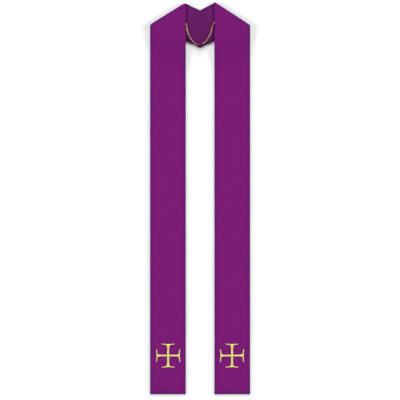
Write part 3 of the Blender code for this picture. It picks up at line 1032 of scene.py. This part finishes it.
def add_metalwork(name, parts):
    """One piece of several wires, each placed by its own matrix, with its darkening."""
    all_places = []
    all_faces = []
    all_dark = []
    for matrix, (places, faces, dark) in parts:
        first = sum(len(each) for each in all_places)
        turn = np.array(matrix.to_3x3())
        all_places.append(places @ turn.T + np.array(matrix.translation))
        all_faces += [[first + corner for corner in face] for face in faces]
        all_dark.append(dark)
    piece = add_closed_piece(name, np.vstack(all_places), all_faces)
    paint(piece, "darkened", np.concatenate(all_dark))
    return piece


def plating_group():
    """Antiqued plating: bright where it is rubbed, dark in the hollows, with small dull spots."""
    group, given, result = new_group(
        "antiqued plating",
        {"Place": "Vector", "Darkened": "Float", "Bright": "Color", "Dark": "Color"},
        {"Color": "Color", "Roughness": "Float", "Height": "Float"},
    )
    spot_fineness, spottiness = 1400.0, 0.7
    kept_bright = 1.6  # higher keeps more of the wire bright
    rubbed_roughness, dull_roughness = 0.42, 0.62
    spots = put(group, "TexNoise", given["Place"], None, spot_fineness, 3.0)
    amount = maths(group, "MULTIPLY_ADD", spots, spottiness, -spottiness / 2)
    dull = maths(group, "ADD", maths(group, "POWER", given["Darkened"], kept_bright), amount, clamp=True)
    group.links.new(mix_colours(group, dull, given["Bright"], given["Dark"]), result["Color"])
    rougher = dull_roughness - rubbed_roughness
    group.links.new(maths(group, "MULTIPLY_ADD", dull, rougher, rubbed_roughness), result["Roughness"])
    group.links.new(spots, result["Height"])
    return group


plating = plating_group()


def metal_finish(name, bright, dark):
    """Antiqued plating on brass, with its bright and its darkened colour."""
    finish, tree, shader = new_finish(name, 0.3, Metallic=1.0)
    coat = use_group(
        tree,
        plating,
        Place=put(tree, "TexCoord").node.outputs["Object"],
        Darkened=painted(tree, "darkened"),
        Bright=(*bright, 1.0),
        Dark=(*dark, 1.0),
    )
    tree.links.new(coat["Color"], shader.inputs["Base Color"])
    tree.links.new(coat["Roughness"], shader.inputs["Roughness"])
    add_relief(tree, shader, coat["Height"], strength=0.15, depth=0.00005)
    return finish


antique_gold = metal_finish("antique_gold_plating", (0.58, 0.39, 0.265), (0.22, 0.12, 0.07))
tack_thread = thread_finish("rose_sewing_thread", (0.210, 0.048, 0.150), 0.60, 0.25, 0.10)
for word, side in SIDES.items():
    place = Matrix.Translation((*SEWN_AT[word], SEWN_HEIGHT))
    wire_middle = (SEWN_RING - SEWN_WIRE) / 2
    places, faces, dark = wire_ring(circle(wire_middle, 36), (0, 0, 1), SEWN_WIRE / 2)
    wire = places, faces, np.maximum(dark, SEWN_DULL)
    ring = add_metalwork(f"sewn_wire_ring_{word}", [(place, wire)])
    ring.data.materials.append(antique_gold)
    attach(ring, "root")
    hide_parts(f"sewn_ring_{word}")

    spread = np.linspace(-TACK_SPREAD, TACK_SPREAD, TACKS)
    spread = spread + tack_luck.uniform(-TACK_UNEVEN, TACK_UNEVEN, TACKS)
    turns = (0 if side > 0 else pi) + np.radians(spread)
    spokes = np.stack([np.cos(turns), np.sin(turns), 0 * turns], axis=1)
    middle = np.array((*SEWN_AT[word], CLOTH + LAYER_RISE))
    starts = middle + spokes * (wire_middle - SEWN_WIRE / 2 - TACK_WIDTH * TACK_IN)
    ends = middle + spokes * (wire_middle + SEWN_WIRE / 2 + TACK_WIDTH * TACK_OUT)
    lines = arch(starts, ends, SEAM_GAP + SEWN_WIRE + TACK_WIDTH * TACK_OVER, TACK_SINK, points=9)
    sideways = np.cross(spokes, (0.0, 0.0, 1.0))
    tacks = add_threads(f"ring_tacks_{word}", lines, sideways, TACK_WIDTH, TACK_WIDTH, tack_luck)
    tacks.data.materials.append(tack_thread)
    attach(tacks, "root")

# ---------------------------------------------------------------- the neck chain and its clasp
# A light cable chain of oval wire links joins the fronts and keeps the stole on the shoulders.  It
# is in two lengths, each linked into its sewn ring at one end and to a jump ring at the other, and
# the two jump rings are held by a small round spring clasp.  It lies slack on the lining.

LINK_LENGTH, LINK_WIDTH, LINK_WIRE = 0.0054, 0.0040, 0.0010
LINK_PITCH = 0.0033
LINK_ROLL = 45  # degrees, every other link the other way
LINK_ROLL_LUCK, LINK_SWING_LUCK = 4, 3  # degrees
ROUTE_STEP = 0.0005
INTO_JUMP_RING = 0.0009  # how far past the route's end the last link lies
DARK_LINKS = 3  # the links are darker over this many links towards the clasp
DULL_LINKS = 7  # and over this many towards the sewn ring
DULL_SHARE = 0.85  # how dark it is there
CHAIN_SETTLE = 0.0008  # how far the links lie below the middle of the space kept for them
SETTLE_REACH = 0.008  # from either end
JUMP_RING, JUMP_WIRE = 0.0064, 0.0011
CLASP_RING, CLASP_WIRE = 0.0084, 0.0017
CLASP_BOLT = 0.6 * CLASP_WIRE
CLASP_AT = Vector((0.0003, 0.5168, 0.0064))
CLASP_TURN = radians(9)  # the clasp's right end lies nearer the neck
CLASP_ROLL, JUMP_ROLL = radians(20), radians(-55)
CHAIN_ROUTES = {
    "left": (
        (-0.0457, 0.5803, 0.0062),
        (-0.0452, 0.5757, 0.0059),
        (-0.0441, 0.5680, 0.0058),
        (-0.0421, 0.5602, 0.0058),
        (-0.0396, 0.5530, 0.0058),
        (-0.0366, 0.5457, 0.0058),
        (-0.0330, 0.5390, 0.0058),
        (-0.0287, 0.5326, 0.0058),
        (-0.0238, 0.5265, 0.0058),
        (-0.0186, 0.5212, 0.0058),
        (-0.0132, 0.5174, 0.0059),
        (-0.0079, 0.5156, 0.0062),
    ),
    "right": (
        (0.0456, 0.5850, 0.0062),
        (0.0434, 0.5805, 0.0059),
        (0.0411, 0.5750, 0.0058),
        (0.0394, 0.5685, 0.0058),
        (0.0377, 0.5620, 0.0058),
        (0.0354, 0.5560, 0.0058),
        (0.0329, 0.5500, 0.0058),
        (0.0303, 0.5441, 0.0058),
        (0.0273, 0.5383, 0.0058),
        (0.0238, 0.5323, 0.0058),
        (0.0196, 0.5266, 0.0058),
        (0.0145, 0.5218, 0.0059),
        (0.0087, 0.5183, 0.0062),
    ),
}
link_luck = np.random.default_rng(11)


def distances_along(line):
    """How far along a line each of its points is."""
    return np.concatenate([[0.0], np.cumsum(np.linalg.norm(np.diff(line, axis=0), axis=1))])


def smooth_line(points, spacing):
    """Points this far apart on a smooth curve through the given ones."""
    knots = np.array(points)
    padded = np.vstack([2 * knots[0] - knots[1], knots, 2 * knots[-1] - knots[-2]])
    fine = [knots[0]]
    for before, start, end, after in zip(padded, padded[1:], padded[2:], padded[3:]):
        for share in np.linspace(0.1, 1.0, 10):
            bend = (3 * (start - end) + after - before) * share**3
            swing = (2 * before - 5 * start + 4 * end - after) * share**2
            fine.append(start + ((end - before) * share + swing + bend) / 2)
    fine = np.array(fine)
    along = distances_along(fine)
    places = np.linspace(0.0, along[-1], round(along[-1] / spacing) + 1)
    return np.stack([np.interp(places, along, fine[:, axis]) for axis in range(3)], axis=1)


def link_path(count=28):
    """The middle of a link's wire: two straight sides joined by half rounds."""
    half_width = (LINK_WIDTH - LINK_WIRE) / 2
    half_length = (LINK_LENGTH - LINK_WIRE) / 2
    path = circle(half_width, count)
    ahead = path[:, 0] > 1e-6 * half_width
    behind = path[:, 0] < -1e-6 * half_width
    path[:, 0] += (half_length - half_width) * (1.0 * ahead - 1.0 * behind)
    return path


def facing_matrix(place, forward, roll):
    """Turns a flat part's +X along the chain and rolls it about that line."""
    forward = Vector(forward).normalized()
    flat_side = Vector((0, 0, 1)).cross(forward).normalized()
    upward = forward.cross(flat_side)
    turn = Matrix((forward, flat_side, upward)).transposed().to_4x4()
    return Matrix.Translation(place) @ turn @ Matrix.Rotation(roll, 4, "X")


def settled(line):
    """The chain's line, let down onto the lining between its two ends."""
    steps = distances_along(line)
    from_ends = np.minimum(steps, steps[-1] - steps)
    line = line.copy()
    line[:, 2] -= CHAIN_SETTLE * smooth_step(from_ends / SETTLE_REACH)
    return line


def add_chain(name, route):
    """A length of chain along its route, and the line that it follows."""
    line = settled(smooth_line(route, ROUTE_STEP))
    steps = distances_along(line)
    last = steps[-1] + INTO_JUMP_RING
    count = round(last / LINK_PITCH) + 1
    places, faces, dark = wire_ring(link_path(), (0, 0, 1), LINK_WIRE / 2, sides=8)
    end_step = line[-1] - line[-3]
    beyond = line[-1] + end_step / np.linalg.norm(end_step) * 2 * INTO_JUMP_RING
    line_on = np.vstack([line, beyond])
    along = np.append(steps, steps[-1] + 2 * INTO_JUMP_RING)
    reach = 0.0012
    parts = []
    for number, place in enumerate(np.linspace(0.0, last, count)):
        behind, middle, ahead = (
            Vector([np.interp(at, along, line_on[:, axis]) for axis in range(3)])
            for at in (place - reach, place, place + reach)
        )
        forward = ahead - behind
        roll = radians(LINK_ROLL) * (1 if number % 2 else -1)
        roll += radians(link_luck.uniform(-LINK_ROLL_LUCK, LINK_ROLL_LUCK))
        swing = Matrix.Rotation(radians(link_luck.uniform(-LINK_SWING_LUCK, LINK_SWING_LUCK)), 4, "Z")
        near_clasp = max(0.0, 1 - (count - 1 - number) / DARK_LINKS)
        near_ring = DULL_SHARE * max(0.0, 1 - number / DULL_LINKS)
        link = places, faces, np.maximum(dark, max(near_clasp, near_ring))
        parts.append((facing_matrix(middle, swing.to_3x3() @ forward, roll), link))
    return add_metalwork(name, parts), line


def add_jump_ring(name, side):
    """A ring of cut wire, bent closed until only a fine slit is left."""
    along = Vector((cos(CLASP_TURN), sin(CLASP_TURN), 0.0))
    apart = (CLASP_RING + JUMP_RING) / 2 - CLASP_WIRE - JUMP_WIRE - 3 * SEAM_GAP
    slit = radians(2.5)
    arc = circle((JUMP_RING - JUMP_WIRE) / 2, 40, slit, 2 * pi - slit, whole=False)
    place = Matrix.Translation(CLASP_AT + along * side * apart)
    turn = Matrix.Rotation(CLASP_TURN, 4, "Z") @ Matrix.Rotation(JUMP_ROLL, 4, "X")
    spin = Matrix.Rotation(radians(70) * side, 4, "Z")
    wire = wire_ring(arc, (0, 0, 1), JUMP_WIRE / 2, closed=False)
    return add_metalwork(name, [(place @ turn @ spin, wire)])


def add_clasp(name):
    """A round tube with a spring bolt across its opening, two collars and a thumb lever."""
    radius = (CLASP_RING - CLASP_WIRE) / 2
    normal = (0, 0, 1)
    opening = radians(62), radians(112)
    bolt_overlap, half_collar = 0.10, 0.10  # radians
    place = Matrix.Translation(CLASP_AT)
    place = place @ Matrix.Rotation(CLASP_TURN, 4, "Z") @ Matrix.Rotation(CLASP_ROLL, 4, "X")
    tube = circle(radius, 44, opening[1], opening[0] + 2 * pi, whole=False)
    bolt = circle(radius, 10, opening[0] - bolt_overlap, opening[1] + bolt_overlap, whole=False)
    parts = [
        (place, wire_ring(tube, normal, CLASP_WIRE / 2, sides=12, closed=False)),
        (place, wire_ring(bolt, normal, CLASP_BOLT / 2, closed=False)),
    ]
    for end in opening:
        collar = circle(radius, 5, end - half_collar, end + half_collar, whole=False)
        swell = CLASP_WIRE / 2 * np.array((0.98, 1.10, 1.16, 1.10, 0.98))
        parts.append((place, wire_ring(collar, normal, swell, sides=12, closed=False)))
    lever_at = radians(138)
    out = np.array((cos(lever_at), sin(lever_at), 0.0))
    stalk = [out * (radius + reach) for reach in (0.0005, 0.0008, 0.00110, 0.00135, 0.00150)]
    swell = np.array((0.00036, 0.00030, 0.00046, 0.00044, 0.00020))
    parts.append((place, wire_ring(stalk, normal, swell, closed=False)))
    return add_metalwork(name, parts)


# The clasp and its jump rings are coloured a very dark metal.
dark_clasp_metal = metal_finish("dark_clasp_finish", (0.120, 0.085, 0.055), (0.040, 0.026, 0.016))
clasp = add_clasp("clasp_spring_ring")
jump_rings = {word: add_jump_ring(f"wire_jump_ring_{word}", side) for word, side in SIDES.items()}
for piece, node in (
    (clasp, "clasp_ring"),
    (jump_rings["left"], "jump_ring_left"),
    (jump_rings["right"], "jump_ring_right"),
):
    piece.data.materials.append(dark_clasp_metal)
    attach(piece, "root")
    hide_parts(node)

# The clasp joins both lengths.
for word in SIDES:
    chain, line = add_chain(f"neck_chain_{word}", CHAIN_ROUTES[word])
    chain.data.materials.append(antique_gold)
    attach(chain, "root")
    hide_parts(f"chain_{word}")

# ---------------------------------------------------------------- the table and the light
# A plain white table in an even room that is brighter towards its horizon, with soft lamps low down
# beyond the neck and on both sides, so the stole's edges throw short soft shadows.

TABLE_SIZE = 14.0
TABLE_WHITE = 0.80
SKY = 0.265  # overhead
HORIZON = 1.05
HORIZON_FADES = 0.10, 0.34  # from one to the other, by the sine of the height above the level

table_mesh = bpy.data.meshes.new("table")
half = TABLE_SIZE / 2
corners = [(x, y, -SEAM_GAP) for x, y in ((-half, -half), (half, -half), (half, half), (-half, half))]
table_mesh.from_pydata(corners, [], [(0, 1, 2, 3)])
table = place_in_scene("table", table_mesh)
table_finish, _, table_shader = new_finish("white_table", 0.9, Specular_IOR_Level=0.0)
table_shader.inputs["Base Color"].default_value = (TABLE_WHITE, TABLE_WHITE, TABLE_WHITE, 1.0)
table_mesh.materials.append(table_finish)

sky = bpy.data.worlds.new("sky")
sky.use_nodes = True
tree = sky.node_tree
background = tree.nodes["Background"].inputs
upwards = put(tree, "SeparateXYZ", put(tree, "TexCoord")).node.outputs["Z"]
fade = put(tree, "MapRange", upwards, *HORIZON_FADES, HORIZON, SKY, interpolation_type="SMOOTHSTEP")
tree.links.new(fade, background["Strength"])
background["Color"].default_value = (1.0, 1.0, 1.0, 1.0)
bpy.context.scene.world = sky

# Where a lamp stands round the stole, in degrees from +X, how high, how bright and how soft.
Lamp = namedtuple("Lamp", "place bearing elevation strength softness")
LAMPS = (
    Lamp("beyond the neck", 90, 16, 5.55, 22),
    Lamp("to the left", 180, 12, 3.60, 9),
    Lamp("to the right", 0, 12, 3.60, 9),
)
for lamp in LAMPS:
    light = bpy.data.lights.new(lamp.place, "SUN")
    light.energy = lamp.strength
    light.angle = radians(lamp.softness)
    holder = place_in_scene(lamp.place, light)
    holder.rotation_euler = (0.0, radians(90 - lamp.elevation), radians(lamp.bearing))

bpy.context.scene.view_settings.view_transform = "Standard"
